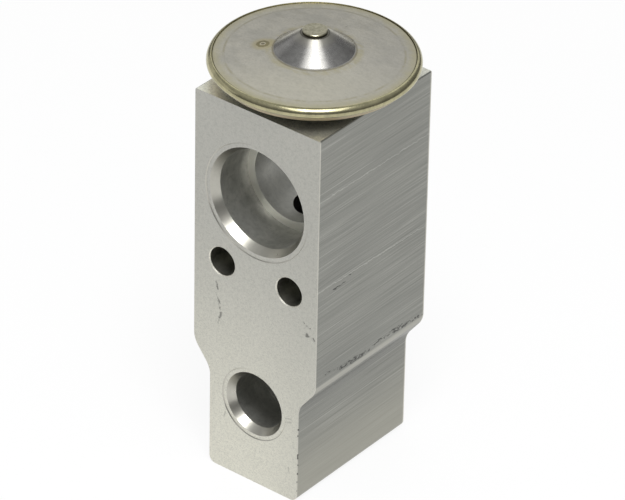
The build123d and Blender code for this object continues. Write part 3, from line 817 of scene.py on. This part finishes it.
def make_diaphragm(material):
    """Diaphragm: its middle lies on the pad, its rim is held between the covers."""
    low, high = box_in_mm("head_diaphragm")
    pad_edge = (box_in_mm("diaphragm_pad")[1].x, low.z)
    clamp_edge = (CLAMP_R, high.z - DIAPHRAGM_THICKNESS)
    waist = ((pad_edge[0] + clamp_edge[0]) / 2, (pad_edge[1] + clamp_edge[1]) / 2 + DIAPHRAGM_CREST)
    under = [(0.0, low.z)] + rounded((0.0, low.z), pad_edge, waist, DIAPHRAGM_BEND_R, 6)
    under += rounded(pad_edge, waist, clamp_edge, DIAPHRAGM_BEND_R, 6)
    under += [clamp_edge, (high.x, clamp_edge[1])]
    outline = under + [(reach, height + DIAPHRAGM_THICKNESS) for reach, height in reversed(under)]
    sheet = lathe("diaphragm_sheet", outline, material)
    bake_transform(sheet)
    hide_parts("head_diaphragm")


def make_spring_half(name, material, first_turn, last_turn):
    """Return one stretch of the coil spring as a round wire, with its end ground flat."""
    low, high = box_in_mm("adjusting_spring")
    end_rise = (2 * WIRE_R + COIL_GAP) * END_TURNS
    active_rise = high.z - low.z - 2 * end_rise
    vertices, faces = [], []
    steps = round((last_turn - first_turn) * COIL_STEPS)
    for step in range(steps + 1):
        turn = first_turn + (last_turn - first_turn) * step / steps
        low_end = min(turn, END_TURNS) / END_TURNS
        high_end = max(turn - END_TURNS - ACTIVE_TURNS, 0) / END_TURNS
        middle = min(max(turn - END_TURNS, 0), ACTIVE_TURNS) / ACTIVE_TURNS
        centre_z = low.z + (low_end + high_end) * end_rise + middle * active_rise
        around = 2 * math.pi * turn
        for side in range(WIRE_SIDES):
            spin = 2 * math.pi * side / WIRE_SIDES
            reach = COIL_R + WIRE_R * math.cos(spin)
            height = min(max(centre_z + WIRE_R * math.sin(spin), low.z), high.z)
            x, y = reach * math.cos(around), reach * math.sin(around)
            vertices.append((x * MM, y * MM, height * MM))
    for step in range(steps):
        for side in range(WIRE_SIDES):
            after = (side + 1) % WIRE_SIDES
            here, there = step * WIRE_SIDES, (step + 1) * WIRE_SIDES
            faces.append((here + side, there + side, there + after, here + after))
    faces.append(tuple(range(WIRE_SIDES)))
    faces.append(tuple(steps * WIRE_SIDES + side for side in reversed(range(WIRE_SIDES))))
    half = smooth_piece(name, vertices, faces, material, smooth_angle=50.0)
    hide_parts("adjusting_spring")
    return half


def make_spring(material):
    """Coil spring in two stretches, a lower and an upper one."""
    turns = ACTIVE_TURNS + 2 * END_TURNS
    lower = make_spring_half("spring_lower", material, 0.0, turns / 2)
    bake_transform(lower)
    upper = make_spring_half("spring_upper", material, turns / 2, turns)
    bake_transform(upper)


def dress_small_pieces():
    """Give every other piece its finish."""
    plug = plug_finish()
    inner = plain_metal("inner_steel", (0.42, 0.42, 0.42), (0.58, 0.58, 0.57), 0.25, 0.18, 0.34)
    spring = plain_metal("spring_steel", (0.3, 0.3, 0.31), (0.46, 0.46, 0.46), 0.2, 0.22, 0.4)
    screw = plain_metal("screw_steel", (0.5, 0.49, 0.46), (0.66, 0.65, 0.61), 0.3, 0.24, 0.4)
    board = seal_finish("gasket_board", (0.015, 0.015, 0.016), (0.045, 0.045, 0.045), 0.55, 0.8)
    rubber = seal_finish("seal_rubber", (0.008, 0.008, 0.009), (0.03, 0.03, 0.03), 0.4, 0.62)
    finishes = {
        "charge_plug": plug,
        "diaphragm_pad": inner,
        "valve_rod": inner,
        "valve_ball": inner,
        "ball_carrier": inner,
        "rod_lock_ring": spring,
        "damping_spring": spring,
        "adjusting_screw": screw,
        "head_gasket": board,
        "rod_o_ring": rubber,
        "screw_o_ring": rubber,
    }
    for name, material in finishes.items():
        set_only_material(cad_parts[name], material)
    make_diaphragm(inner)
    make_spring(spring)


def make_camera():
    """Stand the camera at the photograph's angle."""
    back = direction(CAMERA_AZIMUTH, CAMERA_ELEVATION)
    level = Vector((math.cos(math.radians(CAMERA_AZIMUTH)), math.sin(math.radians(CAMERA_AZIMUTH)), 0))
    aim = level * AIM_SIDEWAYS + Vector((0, 0, AIM_HEIGHT))
    roll = math.radians(CAMERA_ROLL)
    raised = back.cross(level)
    right = level * math.cos(roll) + raised * math.sin(roll)
    up = back.cross(right)
    data = bpy.data.cameras.new("camera")
    data.sensor_width = SENSOR_WIDTH
    data.sensor_fit = "HORIZONTAL"
    data.lens = FOCAL_LENGTH_PX * SENSOR_WIDTH / IMAGE_WIDTH_PX
    data.clip_start = 0.05
    data.clip_end = 50.0
    camera = bpy.data.objects.new("camera", data)
    turn = Matrix((right, up, back)).transposed().to_4x4()
    camera.matrix_world = Matrix.Translation((aim + back * CAMERA_DISTANCE) * MM) @ turn
    bpy.context.scene.collection.objects.link(camera)
    bpy.context.scene.camera = camera


def make_lamps():
    """Hang the softboxes, each facing the object's middle."""
    middle = Vector((0, 0, AIM_HEIGHT)) * MM
    for name, azimuth, elevation, distance, width, height, power in LAMPS:
        data = bpy.data.lights.new(name, "AREA")
        data.shape = "RECTANGLE"
        data.size, data.size_y = width * MM, height * MM
        data.energy = power
        lamp = bpy.data.objects.new(name, data)
        away = direction(azimuth, elevation)
        lamp.location = middle + away * distance * MM
        lamp.rotation_mode = "QUATERNION"
        lamp.rotation_quaternion = away.to_track_quat("Z", "Y")
        bpy.context.scene.collection.objects.link(lamp)


def floor_finish():
    """Matte, lifted towards white for camera, glossy and transmission rays, and clear from below."""
    material = bpy.data.materials.new("pale_floor")
    material.use_nodes = True
    tree = material.node_tree
    tree.nodes.clear()
    matte = add_node(tree, "ShaderNodeBsdfDiffuse", {"Color": (FLOOR_TONE, FLOOR_TONE, FLOOR_TONE, 1)})
    white = add_node(tree, "ShaderNodeEmission")
    clear = add_node(tree, "ShaderNodeBsdfTransparent")
    rays = add_node(tree, "ShaderNodeLightPath").outputs
    shown = rays["Is Camera Ray"]
    for kind in ("Is Glossy Ray", "Is Transmission Ray"):
        either = add_node(tree, "ShaderNodeMath", {0: shown, 1: rays[kind]}, operation="MAXIMUM")
        shown = either.outputs[0]
    share = add_node(tree, "ShaderNodeMath", {0: shown, 1: FLOOR_LIFT}, operation="MULTIPLY").outputs[0]
    lifted = add_node(tree, "ShaderNodeMixShader", {0: share, 1: matte.outputs[0], 2: white.outputs[0]})
    below = add_node(tree, "ShaderNodeNewGeometry").outputs["Backfacing"]
    sides = add_node(tree, "ShaderNodeMixShader", {0: below, 1: lifted.outputs[0], 2: clear.outputs[0]})
    add_node(tree, "ShaderNodeOutputMaterial", {"Surface": sides.outputs[0]})
    return material


def make_floor():
    """Lay a plain pale floor that keeps the object's shadow."""
    half = FLOOR_HALF_WIDTH * MM
    mesh = bpy.data.meshes.new("floor")
    mesh.from_pydata([(-half, -half, 0), (half, -half, 0), (half, half, 0), (-half, half, 0)],
                     [], [(0, 1, 2, 3)])
    floor = bpy.data.objects.new("floor", mesh)
    bpy.context.scene.collection.objects.link(floor)
    floor.data.materials.append(floor_finish())


def make_world():
    """Light the scene from all round at a low level, more from above than from the horizon."""
    world = bpy.data.worlds.new("studio")
    bpy.context.scene.world = world
    world.use_nodes = True
    tree = world.node_tree
    where = add_node(tree, "ShaderNodeTexCoord").outputs["Generated"]
    rise = add_node(tree, "ShaderNodeSeparateXYZ", {"Vector": where}).outputs["Z"]
    spread = {"Value": rise, "From Min": WORLD_LOW_RISE, "From Max": WORLD_HIGH_RISE}
    share = add_node(tree, "ShaderNodeMapRange", spread).outputs[0]
    tones = {0: share, 6: (*WORLD_LOW_TONE, 1), 7: (*WORLD_HIGH_TONE, 1)}
    tone = add_node(tree, "ShaderNodeMix", tones, data_type="RGBA").outputs[2]
    background = tree.nodes["Background"]
    background.inputs["Strength"].default_value = WORLD_STRENGTH
    tree.links.new(tone, background.inputs["Color"])


bpy.context.scene.view_settings.view_transform = "Standard"
make_camera()
make_lamps()
make_floor()
make_world()
dress_block()
dress_small_pieces()
make_upper_cover()
make_lower_cover()
make_rim_weld()
make_weld_spot()
